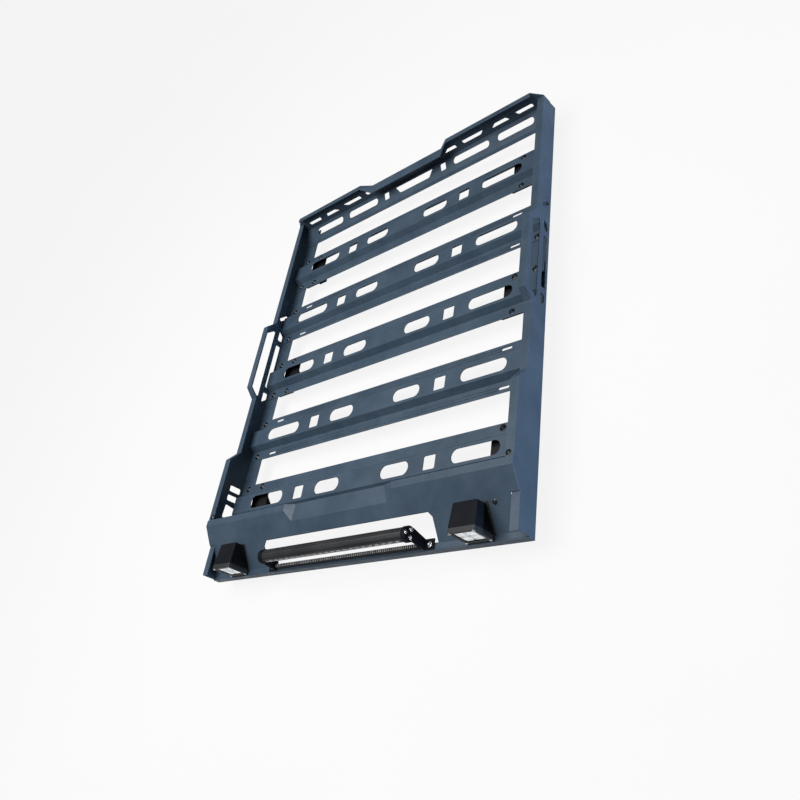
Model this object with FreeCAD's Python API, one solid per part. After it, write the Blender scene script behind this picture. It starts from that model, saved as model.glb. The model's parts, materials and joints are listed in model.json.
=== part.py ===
"""Roof basket: a low folded-sheet tray with five slotted crossbars, two side rails with grab
handles, a rear rail, a sloped front fairing, a light bar, two corner lights and six feet.

X runs across, +Y points to the rear, +Z points up.  The foot pads stand on Z = 0.  All in mm.
"""
import FreeCAD, Part
import math
import os

# Overall sizes
WIDTH = 1250.0
LENGTH = 1490.0
SHEET = 3.0

# Feet, one pair under the first, middle and last crossbar
PAD_THICKNESS = 8.0
FOOT_HEIGHT = 47.0
FOOT_WIDTH = 80.0
FOOT_LEG_WIDTH = 40.0
FOOT_BASE_LENGTH = 44.0
FOOT_PLATE = 4.0
FOOT_LEG = 6.0
FOOT_TO_FLANGE_GAP = 9.0
FOOT_HOLE_RADIUS = 4.5
FOOT_BARS = (1, 3, 5)

# Side rails, folded channels open to the inside
RAIL_HEIGHT = 69.0
RAISED_HEIGHT = 103.0
RAIL_FLANGE = 64.0
RAIL_LIP = 25.0
RAISED_FOOT_FROM_FRONT = 430.0
RAISED_TOP_FROM_FRONT = 392.0

# Windows in the raised part of the left side rail: distance from the front, then height over the deck
RAIL_WINDOWS = (
    ((316.0, 58.0), (296.0, 58.0), (296.0, 14.0), (316.0, 14.0)),
    ((283.0, 59.0), (263.0, 59.0), (263.0, 11.0), (283.0, 11.0)),
    ((248.0, 57.0), (199.0, 60.0), (222.0, 12.0), (242.0, 12.0)),
)
GRIP_ROUNDING = 5.0
WINDOW_ROUNDING = 5.0
WINDOW_BEVEL = 3.0

# Grab handle raised out of each side rail, measured from its middle
HANDLE_BAR = 3
HANDLE_FROM_BAR = 64.0
HANDLE_FOOT_HALF = 166.0
HANDLE_TOP_HALF = 133.0
GRIP_BOTTOM_HALF = 148.0
GRIP_TOP_HALF = 119.0
GRIP_THICKNESS = 20.0
GRIP_SILL = 20.0
HANDLE_SLOT_HALF = 93.0
HANDLE_SLOT_BOTTOM = 10.0
HANDLE_SLOT_TOP = 29.0
HANDLE_CORNER_SLOT = ((116.0, 29.0), (156.0, 29.0), (140.0, 10.0), (116.0, 10.0))
LEAN_SLOT_START = (204.0, 42.0)
LEAN_SLOT_END = (233.0, 12.0)
LEAN_SLOT_WIDTH = 12.0

# Crossbars, folded hat sections lying on the rail flanges
BAR_COUNT = 5
FIRST_BAR_FROM_FRONT = 249.5
LAST_BAR_FROM_REAR = 240.5
BAR_WIDTH = 156.0
CROWN_WIDTH = 60.0
CROWN_RISE = 22.0
WEB_RUN = 14.0
BAR_END_GAP = 6.0
CROWN_SLOT_WIDTH = 42.0
CROWN_WINDOW_BEVEL = 3.0

# Lands and slot lengths along half a crossbar; the spaces between the slots are equal
MIDDLE_LAND_HALF = 89.0
INNER_SLOT_LENGTH = 110.0
CROWN_WINDOW_LENGTH = 43.0
OUTER_SLOT_LENGTH = 165.0
OUTER_LAND = 94.0

# Small adjusting slots in the flanges of the crossbars that carry no feet
FLANGE_SLOT_FROM_END = 114.0
FLANGE_SLOT_LENGTH = 36.0
FLANGE_SLOT_WIDTH = 8.0
FLANGE_SLOT_FROM_BAR = 63.0

# Rear rail
REAR_STRIP = 17.0
REAR_DEPTH = 82.0
REAR_SLOPE_RISE = 27.0
REAR_LIP = 20.0
REAR_LEDGE = 42.0
REAR_RECESS_TOP = 76.0
REAR_RECESS_HALF = 177.0
REAR_RAISED_FROM = 222.0
REAR_CHAMFER = 34.0

# Windows in the rear wall on one side, from the middle outward with equal spaces between them:
# length, then how far the lower and upper corners lean in at the near and far ends
REAR_WINDOW_BOTTOM = 48.0
REAR_WINDOW_TOP = 62.0
REAR_WINDOWS_FROM_MIDDLE = 176.0
REAR_WINDOWS_FROM_SIDE = 53.0
REAR_WINDOWS = (
    (57.0, (0.0, 22.0), (0.0, 0.0)),
    (96.0, (0.0, 0.0), (18.0, 0.0)),
    (76.0, (0.0, 20.0), (0.0, 8.0)),
    (70.0, (6.0, 0.0), (0.0, 0.0)),
)

# Slots in the rear rail's sloped foot on one side, from the middle outward with equal spaces
REAR_SQUARE_LENGTH = 25.0
REAR_SLOT_LENGTHS = (165.0, 155.0)
REAR_SLOT_LAND = 72.0
REAR_CENTRE_SLOT = (96.0, 74.0)
REAR_SLOT_FROM_WALL = 12.0
REAR_SLOT_WIDTH = 28.0

# Front fairing, one sloped sheet with a folded top lip and a recessed middle
FAIRING_DROP = 3.5
FAIRING_LIP_FROM_FRONT = 172.0
FAIRING_BEND_FROM_FRONT = 151.5
FAIRING_TOE_FROM_FRONT = 18.0
FAIRING_SIDE_GAP = 2.0
RECESS_EDGE_HALF = 187.0
RECESS_OUTER_HALF = 225.0
RECESS_POINT_HALF = 198.0
RECESS_EDGE_DROP = 12.0
RECESS_POINT_FROM_FRONT = 122.5
LIGHT_OPENING_HALF = 345.0
LIGHT_OPENING_FROM_FRONT = 86.5
LIGHT_OPENING_CHAMFER = 12.0

# Front lip under the fairing's toe, and the ribbed trim strip on it
FRONT_LIP_HEIGHT = 20.0
FRONT_LIP_LEDGE = 22.0
TRIM_END_GAP = 11.0
TRIM_WIDTH = 9.0
TRIM_HEIGHT = 17.0
TRIM_FROM_FRONT = 8.0

# Light bar
LIGHT_BAR_HALF = 285.0
LIGHT_BAR_RADIUS = 18.0
LIGHT_BAR_FROM_FRONT = 26.0
LIGHT_BAR_OVER_DECK = 85.0
LIGHT_LENS_HALF = 272.0
LIGHT_LENS_HEIGHT = 20.0
LIGHT_LENS_DEPTH = 6.0
LIGHT_POCKET_DEPTH = 8.0
LIGHT_POCKET_RIM = 2.0
END_CAP_RADIUS = 21.0
END_CAP_LENGTH = 14.0
BRACKET_PLATE = 4.0
BRACKET_TAB = 34.0
BRACKET_DEPTH = 28.0

# Corner lights
CORNER_LIGHT_FROM_SIDE = 143.0
CORNER_LIGHT_WIDTH = 84.0
CORNER_LIGHT_HEIGHT = 76.0
CORNER_LIGHT_DEPTH = 66.0
CORNER_LIGHT_BACK_WIDTH = 78.0
CORNER_LIGHT_BACK_HEIGHT = 70.0
CORNER_NOTCH_GAP = 1.5
BEZEL_DEPTH = 14.0
BEZEL_RIM = 9.0
LENS_DEPTH = 3.0
LENS_INSET = 2.0
CORNER_BRACKET_PLATE = 4.0

# Derived levels and edges
HALF_WIDTH = WIDTH / 2
WALL_INNER = HALF_WIDTH - SHEET
FRONT_Y = -LENGTH / 2
REAR_Y = LENGTH / 2
DECK_Z = PAD_THICKNESS + FOOT_HEIGHT
FLANGE_TOP = DECK_Z + SHEET
RAIL_TOP = DECK_Z + RAIL_HEIGHT
RAISED_TOP = DECK_Z + RAISED_HEIGHT
FRONT_LIP_TOP = DECK_Z + FRONT_LIP_HEIGHT
BAR_PITCH = (LENGTH - FIRST_BAR_FROM_FRONT - LAST_BAR_FROM_REAR) / (BAR_COUNT - 1)
BEND_Y = FRONT_Y + FAIRING_BEND_FROM_FRONT
TOE_Y = FRONT_Y + FAIRING_TOE_FROM_FRONT
FAIRING_SLOPE = (RAISED_TOP - FRONT_LIP_TOP) / (BEND_Y - TOE_Y)
SLOPE_END_Y = BEND_Y - (RAISED_TOP - RAIL_TOP) / FAIRING_SLOPE
TOE_TOP = FRONT_LIP_TOP + FAIRING_DROP
CORNER_LIGHT_X = HALF_WIDTH - CORNER_LIGHT_FROM_SIDE
BAR_END = WALL_INNER - BAR_END_GAP
THROUGH = 400.0
PARALLEL = 1e-6


def vec(x, y, z):
    """Short form of a point or direction."""
    return FreeCAD.Vector(x, y, z)


def block(x_span, y_span, z_span):
    """Box between two limits on each axis."""
    size = [high - low for low, high in (x_span, y_span, z_span)]
    return Part.makeBox(*size, vec(x_span[0], y_span[0], z_span[0]))


def prism(points, direction):
    """Flat polygon pushed along a direction."""
    outline = Part.makePolygon(points + points[:1])
    return Part.Face(outline).extrude(direction)


def edges_along(solid, direction):
    """The straight edges of a solid that run along a direction."""
    along = []
    for edge in solid.Edges:
        ends = [vertex.Point for vertex in edge.Vertexes]
        if (ends[1] - ends[0]).cross(direction).Length < PARALLEL:
            along.append(edge)
    return along


def bevelled(solid, direction, size):
    """The solid with its edges that run along a direction cut at an angle."""
    return solid.makeChamfer(size, edges_along(solid, direction))


def row(start, end, lengths):
    """Spans of the given lengths between two limits, with equal spaces between them."""
    space = (end - start - sum(lengths)) / (len(lengths) - 1)
    spans = []
    for length in lengths:
        spans.append((start, start + length))
        start += length + space
    return spans


def obround(x_span, y_span, z_span):
    """Upright slot cutter along X with half-round ends."""
    radius = (y_span[1] - y_span[0]) / 2
    middle = (y_span[0] + y_span[1]) / 2
    ends = (x_span[0] + radius, x_span[1] - radius)
    body = block(ends, y_span, z_span)
    height = z_span[1] - z_span[0]
    caps = [Part.makeCylinder(radius, height, vec(x, middle, z_span[0])) for x in ends]
    return fuse([body] + caps)


def fuse(solids):
    """One clean solid from several that touch or overlap."""
    return solids[0].multiFuse(solids[1:]).removeSplitter()


def mirrored(shape):
    """The same shape on the other side of the basket."""
    return shape.mirror(vec(0, 0, 0), vec(1, 0, 0))


def both_sides(shapes):
    """The shapes and their mirror images."""
    return shapes + [mirrored(shape) for shape in shapes]


def bar_y(number):
    """Middle of a crossbar; the first is nearest the front."""
    return FRONT_Y + FIRST_BAR_FROM_FRONT + (number - 1) * BAR_PITCH


def wall_cutter(points):
    """Cutter through a side rail's wall for a list of (y, z) corners."""
    inside = WALL_INNER - SHEET
    corners = [vec(inside, y, z) for y, z in points]
    return prism(corners, vec(HALF_WIDTH + SHEET - inside, 0, 0))


def handle_middle():
    """Middle of the grab handles along the basket."""
    return bar_y(HANDLE_BAR) + HANDLE_FROM_BAR


def rail_top_line():
    """Top edge of a side rail from rear to front as (y, z)."""
    handle_y = handle_middle()
    return [
        (REAR_Y - SHEET, RAIL_TOP),
        (handle_y + HANDLE_FOOT_HALF, RAIL_TOP),
        (handle_y + HANDLE_TOP_HALF, RAISED_TOP),
        (handle_y - HANDLE_TOP_HALF, RAISED_TOP),
        (handle_y - HANDLE_FOOT_HALF, RAIL_TOP),
        (FRONT_Y + RAISED_FOOT_FROM_FRONT, RAIL_TOP),
        (FRONT_Y + RAISED_TOP_FROM_FRONT, RAISED_TOP),
        (BEND_Y, RAISED_TOP),
        (SLOPE_END_Y, RAIL_TOP),
        (FRONT_Y + SHEET, RAIL_TOP),
    ]


def rail_cutters():
    """Grip opening and handle slots of a side rail."""
    handle_y = handle_middle()
    grip_top = RAISED_TOP - GRIP_THICKNESS
    grip_sill = RAIL_TOP - GRIP_SILL
    grip = wall_cutter([
        (handle_y - GRIP_BOTTOM_HALF, grip_sill),
        (handle_y + GRIP_BOTTOM_HALF, grip_sill),
        (handle_y + GRIP_TOP_HALF, grip_top),
        (handle_y - GRIP_TOP_HALF, grip_top),
    ])
    across = vec(1, 0, 0)
    wall = (WALL_INNER - SHEET, HALF_WIDTH + SHEET)
    slot_z = (DECK_Z + HANDLE_SLOT_BOTTOM, DECK_Z + HANDLE_SLOT_TOP)
    slot = block(wall, (handle_y - HANDLE_SLOT_HALF, handle_y + HANDLE_SLOT_HALF), slot_z)
    grip = grip.makeFillet(GRIP_ROUNDING, edges_along(grip, across))
    windows = [slot]
    for side in (-1, 1):
        windows.append(wall_cutter([(handle_y + side * y, DECK_Z + z) for y, z in HANDLE_CORNER_SLOT]))
    run = LEAN_SLOT_END[0] - LEAN_SLOT_START[0]
    fall = LEAN_SLOT_END[1] - LEAN_SLOT_START[1]
    half = LEAN_SLOT_WIDTH / 2 / math.hypot(run, fall)
    lean = []
    for side, ends in ((1, (LEAN_SLOT_START, LEAN_SLOT_END)), (-1, (LEAN_SLOT_END, LEAN_SLOT_START))):
        for y, z in ends:
            lean.append((handle_y + y - side * fall * half, DECK_Z + z + side * run * half))
    windows.append(wall_cutter(lean))
    return [grip] + [bevelled(window, across, WINDOW_BEVEL) for window in windows]


def rail_windows():
    """Windows in the raised front part of the left side rail, drawn on the right."""
    windows = []
    for corners in RAIL_WINDOWS:
        window = wall_cutter([(FRONT_Y + y, DECK_Z + z) for y, z in corners])
        windows.append(window.makeFillet(WINDOW_ROUNDING, edges_along(window, vec(1, 0, 0))))
    return windows


def side_rail():
    """Right side rail: wall with handle, inward top lip and inward bottom flange."""
    top = rail_top_line()
    rear, front = top[0][0], top[-1][0]
    outline = top + [(front, DECK_Z), (rear, DECK_Z)]
    wall = prism([vec(WALL_INNER, y, z) for y, z in outline], vec(SHEET, 0, 0))
    band = top + [(y, z - SHEET) for y, z in reversed(top)]
    lip = prism([vec(HALF_WIDTH - RAIL_LIP, y, z) for y, z in band], vec(RAIL_LIP, 0, 0))
    flange = block((HALF_WIDTH - RAIL_FLANGE, HALF_WIDTH), (front, rear), (DECK_Z, FLANGE_TOP))
    return fuse([wall, lip, flange]).cut(rail_cutters())


def crossbar(number):
    """Hat-section crossbar with its row of crown slots."""
    crown = CROWN_WIDTH / 2
    web = crown + WEB_RUN
    edge = BAR_WIDTH / 2
    low = FLANGE_TOP
    high = FLANGE_TOP + CROWN_RISE
    upper = [(-edge, low + SHEET), (-web, low + SHEET), (-crown, high + SHEET),
             (crown, high + SHEET), (web, low + SHEET), (edge, low + SHEET)]
    lower = [(edge, low), (web - SHEET, low), (crown - SHEET, high),
             (SHEET - crown, high), (SHEET - web, low), (-edge, low)]
    middle = bar_y(number)
    section = [vec(-BAR_END, middle + y, z) for y, z in upper + lower]
    bar = prism(section, vec(2 * BAR_END, 0, 0))
    up = vec(0, 0, 1)
    half_slot = CROWN_SLOT_WIDTH / 2
    y_span = (middle - half_slot, middle + half_slot)
    z_span = (low, high + 2 * SHEET)
    lengths = (INNER_SLOT_LENGTH, CROWN_WINDOW_LENGTH, OUTER_SLOT_LENGTH)
    inner, window, outer = row(MIDDLE_LAND_HALF, BAR_END - OUTER_LAND, lengths)
    cutters = [bevelled(block(window, y_span, z_span), up, CROWN_WINDOW_BEVEL)]
    for span in (inner, outer):
        cutters.append(obround(span, y_span, z_span))
    if number not in FOOT_BARS:
        centre = BAR_END - FLANGE_SLOT_FROM_END
        x_span = (centre - FLANGE_SLOT_LENGTH / 2, centre + FLANGE_SLOT_LENGTH / 2)
        for side in (-1, 1):
            slot_y = middle + side * FLANGE_SLOT_FROM_BAR
            y_span = (slot_y - FLANGE_SLOT_WIDTH / 2, slot_y + FLANGE_SLOT_WIDTH / 2)
            cutters.append(obround(x_span, y_span, (low - SHEET, low + 2 * SHEET)))
    return bar.cut(both_sides(cutters))


def rear_rail():
    """Rear wall with raised ends, a recessed ledge in the middle and a sloped, slotted foot."""
    wall_front = REAR_Y - SHEET
    foot_top = FLANGE_TOP + REAR_SLOPE_RISE
    recess_top = DECK_Z + REAR_RECESS_TOP
    top = [
        (-HALF_WIDTH, RAIL_TOP),
        (-HALF_WIDTH + REAR_CHAMFER, RAISED_TOP),
        (-REAR_RAISED_FROM, RAISED_TOP),
        (-REAR_RECESS_HALF, recess_top),
        (REAR_RECESS_HALF, recess_top),
        (REAR_RAISED_FROM, RAISED_TOP),
        (HALF_WIDTH - REAR_CHAMFER, RAISED_TOP),
        (HALF_WIDTH, RAIL_TOP),
    ]
    outline = top + [(HALF_WIDTH, foot_top), (-HALF_WIDTH, foot_top)]
    wall = prism([vec(x, wall_front, z) for x, z in outline], vec(0, SHEET, 0))
    across = vec(0, 1, 0)
    cut_front = wall_front - SHEET
    bottom, ceiling = DECK_Z + REAR_WINDOW_BOTTOM, DECK_Z + REAR_WINDOW_TOP
    spans = row(REAR_WINDOWS_FROM_MIDDLE, HALF_WIDTH - REAR_WINDOWS_FROM_SIDE,
                [length for length, near, far in REAR_WINDOWS])
    windows = []
    for (start, end), (length, near, far) in zip(spans, REAR_WINDOWS):
        corners = [vec(start + near[0], cut_front, bottom), vec(start + near[1], cut_front, ceiling),
                   vec(end - far[1], cut_front, ceiling), vec(end - far[0], cut_front, bottom)]
        window = prism(corners, vec(0, REAR_Y + SHEET - cut_front, 0))
        windows.append(bevelled(window, across, WINDOW_BEVEL))
    wall = wall.cut(both_sides(windows))
    lip_line = [
        (REAR_RAISED_FROM, RAISED_TOP),
        (HALF_WIDTH - REAR_CHAMFER, RAISED_TOP),
        (HALF_WIDTH - REAR_CHAMFER, RAISED_TOP - SHEET),
        (REAR_RAISED_FROM, RAISED_TOP - SHEET),
    ]
    lip = prism([vec(x, REAR_Y - REAR_LIP, z) for x, z in lip_line], vec(0, REAR_LIP, 0))
    ledge = block((-REAR_RECESS_HALF, REAR_RECESS_HALF), (REAR_Y - REAR_LEDGE, REAR_Y),
                  (recess_top - SHEET, recess_top))
    joint = prism([vec(REAR_RECESS_HALF, REAR_Y, recess_top), vec(REAR_RAISED_FROM, REAR_Y, RAISED_TOP),
                   vec(REAR_RAISED_FROM, REAR_Y - REAR_LIP, RAISED_TOP)], vec(0, 0, -SHEET))
    joint_front = prism([vec(REAR_RECESS_HALF, REAR_Y, recess_top),
                         vec(REAR_RAISED_FROM, REAR_Y - REAR_LIP, RAISED_TOP),
                         vec(REAR_RECESS_HALF, REAR_Y - REAR_LEDGE, recess_top)], vec(0, 0, -SHEET))
    strip_front = REAR_Y - REAR_DEPTH
    strip_rear = strip_front + REAR_STRIP
    profile = [
        (strip_front, FLANGE_TOP),
        (strip_rear, FLANGE_TOP),
        (REAR_Y, foot_top - SHEET),
        (REAR_Y, foot_top),
        (wall_front, foot_top),
        (strip_rear, FLANGE_TOP + SHEET),
        (strip_front, FLANGE_TOP + SHEET),
    ]
    foot = prism([vec(-WALL_INNER, y, z) for y, z in profile], vec(2 * WALL_INNER, 0, 0))
    slot_rear = wall_front - REAR_SLOT_FROM_WALL
    slot_y = (slot_rear - REAR_SLOT_WIDTH, slot_rear)
    slot_z = (FLANGE_TOP - SHEET, foot_top + SHEET)
    up = vec(0, 0, 1)
    wide, narrow = REAR_CENTRE_SLOT
    lengths = (wide, REAR_SQUARE_LENGTH) + REAR_SLOT_LENGTHS
    square, *longer = row(0, HALF_WIDTH - REAR_SLOT_LAND, lengths)[1:]
    slots = [obround(span, slot_y, slot_z) for span in longer]
    slots.append(bevelled(block(square, slot_y, slot_z), up, CROWN_WINDOW_BEVEL))
    corners = [vec(-wide, slot_y[1], slot_z[0]), vec(wide, slot_y[1], slot_z[0]),
               vec(narrow, slot_y[0], slot_z[0]), vec(-narrow, slot_y[0], slot_z[0])]
    centre = bevelled(prism(corners, vec(0, 0, slot_z[1] - slot_z[0])), up, CROWN_WINDOW_BEVEL)
    foot = foot.cut(both_sides(slots) + [centre])
    return fuse([wall, foot, ledge] + both_sides([lip, joint, joint_front]))


def fairing_top(y):
    """Height of the fairing's sloped face."""
    return RAISED_TOP + FAIRING_DROP - (BEND_Y - y) * FAIRING_SLOPE


def front_fairing():
    """Sloped front sheet: top lip, recessed middle, light bar opening, light notches and toe."""
    down = vec(0, 0, -FAIRING_DROP)
    lip_y = FRONT_Y + FAIRING_LIP_FROM_FRONT
    lip_z = RAISED_TOP + FAIRING_DROP
    point_y = FRONT_Y + RECESS_POINT_FROM_FRONT
    inner_half = HALF_WIDTH - RAIL_LIP - FAIRING_SIDE_GAP
    outer_half = WALL_INNER - FAIRING_SIDE_GAP
    under_lip = RAIL_TOP - SHEET - FAIRING_SIDE_GAP
    under_y = BEND_Y - (lip_z - under_lip) / FAIRING_SLOPE
    lip_inner = vec(RECESS_OUTER_HALF, lip_y, lip_z)
    bend_inner = vec(RECESS_OUTER_HALF, BEND_Y, lip_z)
    recess_edge = vec(RECESS_EDGE_HALF, lip_y, lip_z - RECESS_EDGE_DROP)
    recess_point = vec(RECESS_POINT_HALF, point_y, fairing_top(point_y))
    right = [
        bend_inner,
        vec(HALF_WIDTH, BEND_Y, lip_z),
        vec(HALF_WIDTH, SLOPE_END_Y, fairing_top(SLOPE_END_Y)),
        vec(inner_half, SLOPE_END_Y, fairing_top(SLOPE_END_Y)),
        vec(inner_half, under_y, under_lip),
        vec(outer_half, under_y, under_lip),
        vec(outer_half, TOE_Y, TOE_TOP),
    ]
    left = [vec(-point.x, point.y, point.z) for point in reversed(right)]
    point_left = vec(-recess_point.x, recess_point.y, recess_point.z)
    edge_left = vec(-recess_edge.x, recess_edge.y, recess_edge.z)
    face = prism([recess_point] + right + left + [point_left], down)
    lip_outer = vec(HALF_WIDTH, lip_y, lip_z)
    lip = prism([lip_inner, lip_outer, vec(HALF_WIDTH, BEND_Y, lip_z), bend_inner], down)
    facets = [
        prism([lip_inner, bend_inner, recess_edge], down),
        prism([bend_inner, recess_point, recess_edge], down),
    ]
    ledge = prism([recess_edge, recess_point, point_left, edge_left], down)
    toe = block((-outer_half, outer_half), (FRONT_Y + SHEET, TOE_Y), (FRONT_LIP_TOP, TOE_TOP))
    sheet = fuse([face, ledge, toe] + both_sides([lip] + facets))
    opening_y = FRONT_Y + LIGHT_OPENING_FROM_FRONT
    near = LIGHT_OPENING_HALF - LIGHT_OPENING_CHAMFER
    corners = [(-near, opening_y), (near, opening_y),
               (LIGHT_OPENING_HALF, opening_y - LIGHT_OPENING_CHAMFER), (LIGHT_OPENING_HALF, TOE_Y),
               (-LIGHT_OPENING_HALF, TOE_Y), (-LIGHT_OPENING_HALF, opening_y - LIGHT_OPENING_CHAMFER)]
    opening = prism([vec(x, y, DECK_Z) for x, y in corners], vec(0, 0, THROUGH))
    notch_half = CORNER_LIGHT_WIDTH / 2 + CORNER_NOTCH_GAP
    notch = block((CORNER_LIGHT_X - notch_half, CORNER_LIGHT_X + notch_half),
                  (TOE_Y, corner_light_rear() + CORNER_NOTCH_GAP), (DECK_Z, DECK_Z + THROUGH))
    return sheet.cut([opening] + both_sides([notch]))


def front_lip():
    """Angle across the front: a low face and the ledge that carries the fairing's toe."""
    face = block((-HALF_WIDTH, HALF_WIDTH), (FRONT_Y, FRONT_Y + SHEET), (DECK_Z, TOE_TOP))
    ledge = block((-WALL_INNER, WALL_INNER), (FRONT_Y, FRONT_Y + FRONT_LIP_LEDGE),
                  (FRONT_LIP_TOP - SHEET, FRONT_LIP_TOP))
    return fuse([face, ledge])


def front_edge_trim():
    """Rubber strip on the fairing's toe in front of the light bar."""
    y = FRONT_Y + TRIM_FROM_FRONT
    half = LIGHT_BAR_HALF + END_CAP_LENGTH - TRIM_END_GAP
    return block((-half, half), (y, y + TRIM_WIDTH), (TOE_TOP, TOE_TOP + TRIM_HEIGHT))


def light_bar_axis():
    """Level line through the light bar as (y, z)."""
    return FRONT_Y + LIGHT_BAR_FROM_FRONT, DECK_Z + LIGHT_BAR_OVER_DECK


def light_bar_lens():
    """Clear strip let into the front of the light bar."""
    y, z = light_bar_axis()
    front = y - LIGHT_BAR_RADIUS
    return block((-LIGHT_LENS_HALF, LIGHT_LENS_HALF), (front, front + LIGHT_LENS_DEPTH),
                 (z - LIGHT_LENS_HEIGHT / 2, z + LIGHT_LENS_HEIGHT / 2))


def light_bar_housing():
    """Round tube of the light bar with a seat for its lens and a pocket behind it."""
    y, z = light_bar_axis()
    start = vec(-LIGHT_BAR_HALF, y, z)
    tube = Part.makeCylinder(LIGHT_BAR_RADIUS, 2 * LIGHT_BAR_HALF, start, vec(1, 0, 0))
    half = LIGHT_LENS_HALF - LIGHT_POCKET_RIM
    rise = LIGHT_LENS_HEIGHT / 2 - LIGHT_POCKET_RIM
    front = y - LIGHT_BAR_RADIUS + LIGHT_LENS_DEPTH
    pocket = block((-half, half), (front, front + LIGHT_POCKET_DEPTH), (z - rise, z + rise))
    return tube.cut([light_bar_lens(), pocket])


def light_bar_end_cap():
    """Right end cap of the light bar."""
    y, z = light_bar_axis()
    return Part.makeCylinder(END_CAP_RADIUS, END_CAP_LENGTH, vec(LIGHT_BAR_HALF, y, z), vec(1, 0, 0))


def light_bar_bracket():
    """Right bracket: an upright cheek on the end cap and a tab on the fairing's toe."""
    y, z = light_bar_axis()
    x = LIGHT_BAR_HALF + END_CAP_LENGTH
    tab_front = FRONT_Y + SHEET
    tab_rear = tab_front + BRACKET_DEPTH
    tab_top = TOE_TOP + BRACKET_PLATE
    half = LIGHT_BAR_RADIUS / 2
    cheek = [
        (tab_front, TOE_TOP),
        (tab_rear, TOE_TOP),
        (y + LIGHT_BAR_RADIUS, z - half),
        (y + LIGHT_BAR_RADIUS, z + half),
        (y - LIGHT_BAR_RADIUS, z + half),
        (y - LIGHT_BAR_RADIUS, z - half),
        (tab_front, tab_top),
    ]
    plate = prism([vec(x, py, pz) for py, pz in cheek], vec(BRACKET_PLATE, 0, 0))
    tab = block((x, x + BRACKET_TAB), (tab_front, tab_rear), (TOE_TOP, tab_top))
    return fuse([plate, tab])


def corner_light_seat():
    """Front plane of the corner lights and the height of their underside."""
    return FRONT_Y + SHEET, TOE_TOP + CORNER_BRACKET_PLATE


def corner_light_rear():
    """Back plane of the corner lights."""
    return corner_light_seat()[0] + BEZEL_DEPTH + CORNER_LIGHT_DEPTH


def corner_light_housing():
    """Right corner light's body, narrower and lower towards the rear."""
    front, bottom = corner_light_seat()
    front += BEZEL_DEPTH
    rear = corner_light_rear()
    plan = [
        vec(CORNER_LIGHT_X - CORNER_LIGHT_WIDTH / 2, front, bottom),
        vec(CORNER_LIGHT_X + CORNER_LIGHT_WIDTH / 2, front, bottom),
        vec(CORNER_LIGHT_X + CORNER_LIGHT_BACK_WIDTH / 2, rear, bottom),
        vec(CORNER_LIGHT_X - CORNER_LIGHT_BACK_WIDTH / 2, rear, bottom),
    ]
    profile = [
        vec(0, front, bottom),
        vec(0, rear, bottom),
        vec(0, rear, bottom + CORNER_LIGHT_BACK_HEIGHT),
        vec(0, front, bottom + CORNER_LIGHT_HEIGHT),
    ]
    return prism(plan, vec(0, 0, CORNER_LIGHT_HEIGHT)).common(prism(profile, vec(HALF_WIDTH, 0, 0)))


def corner_light_face(inset, y_span):
    """Upright block in the right corner light's outline, drawn in from its edge."""
    bottom = corner_light_seat()[1]
    half = CORNER_LIGHT_WIDTH / 2 - inset
    return block((CORNER_LIGHT_X - half, CORNER_LIGHT_X + half), y_span,
                 (bottom + inset, bottom + CORNER_LIGHT_HEIGHT - inset))


def corner_light_lens():
    """Clear pane held by the right bezel."""
    front = corner_light_seat()[0] + LENS_INSET
    return corner_light_face(BEZEL_RIM, (front, front + LENS_DEPTH))


def corner_light_bezel():
    """Frame around the right corner light's lens."""
    front = corner_light_seat()[0]
    y_span = (front, front + BEZEL_DEPTH)
    return corner_light_face(0, y_span).cut(corner_light_face(BEZEL_RIM, y_span))


def corner_light_bracket():
    """Right seat plate between the fairing's toe and the corner light."""
    half = CORNER_LIGHT_WIDTH / 2
    return block((CORNER_LIGHT_X - half, CORNER_LIGHT_X + half), (FRONT_Y + SHEET, TOE_Y),
                 (TOE_TOP, TOE_TOP + CORNER_BRACKET_PLATE))


def foot_x(width):
    """Limits across the basket of a right foot's part of the given width, from its outer edge in."""
    outer = HALF_WIDTH - RAIL_FLANGE - FOOT_TO_FLANGE_GAP
    return outer - width, outer


def foot_hole(number, height):
    """Cutter for the bolt hole through the base of a right foot."""
    inner, outer = foot_x(FOOT_LEG_WIDTH)
    centre = vec((inner + outer) / 2, bar_y(number), 0)
    return Part.makeCylinder(FOOT_HOLE_RADIUS, height, centre, vec(0, 0, 1))


def foot(number):
    """Right foot under a crossbar: a wide top plate, two leaning legs and a drilled base."""
    inner, outer = foot_x(FOOT_LEG_WIDTH)
    middle = bar_y(number)
    top, base = FLANGE_TOP, PAD_THICKNESS
    top_half, base_half = BAR_WIDTH / 2, FOOT_BASE_LENGTH / 2
    lean = (top_half - base_half) / (top - base)
    base_inside = base_half + FOOT_PLATE * lean - FOOT_LEG
    top_inside = top_half - FOOT_PLATE * lean - FOOT_LEG
    shell = [(-base_half, base), (base_half, base), (top_half, top), (-top_half, top)]
    hollow = [(-base_inside, base + FOOT_PLATE), (base_inside, base + FOOT_PLATE),
              (top_inside, top - FOOT_PLATE), (-top_inside, top - FOOT_PLATE)]
    length = vec(FOOT_LEG_WIDTH, 0, 0)
    body = prism([vec(inner, middle + y, z) for y, z in shell], length)
    inside = prism([vec(inner, middle + y, z) for y, z in hollow], length)
    legs = body.cut([inside, foot_hole(number, base + FOOT_PLATE)])
    plate = block(foot_x(FOOT_WIDTH), (middle - top_half, middle + top_half), (top - FOOT_PLATE, top))
    return fuse([legs, plate])


def foot_pad(number):
    """Rubber pad under a right foot."""
    middle = bar_y(number)
    half = FOOT_BASE_LENGTH / 2
    pad = block(foot_x(FOOT_LEG_WIDTH), (middle - half, middle + half), (0, PAD_THICKNESS))
    return pad.cut(foot_hole(number, PAD_THICKNESS))


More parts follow.
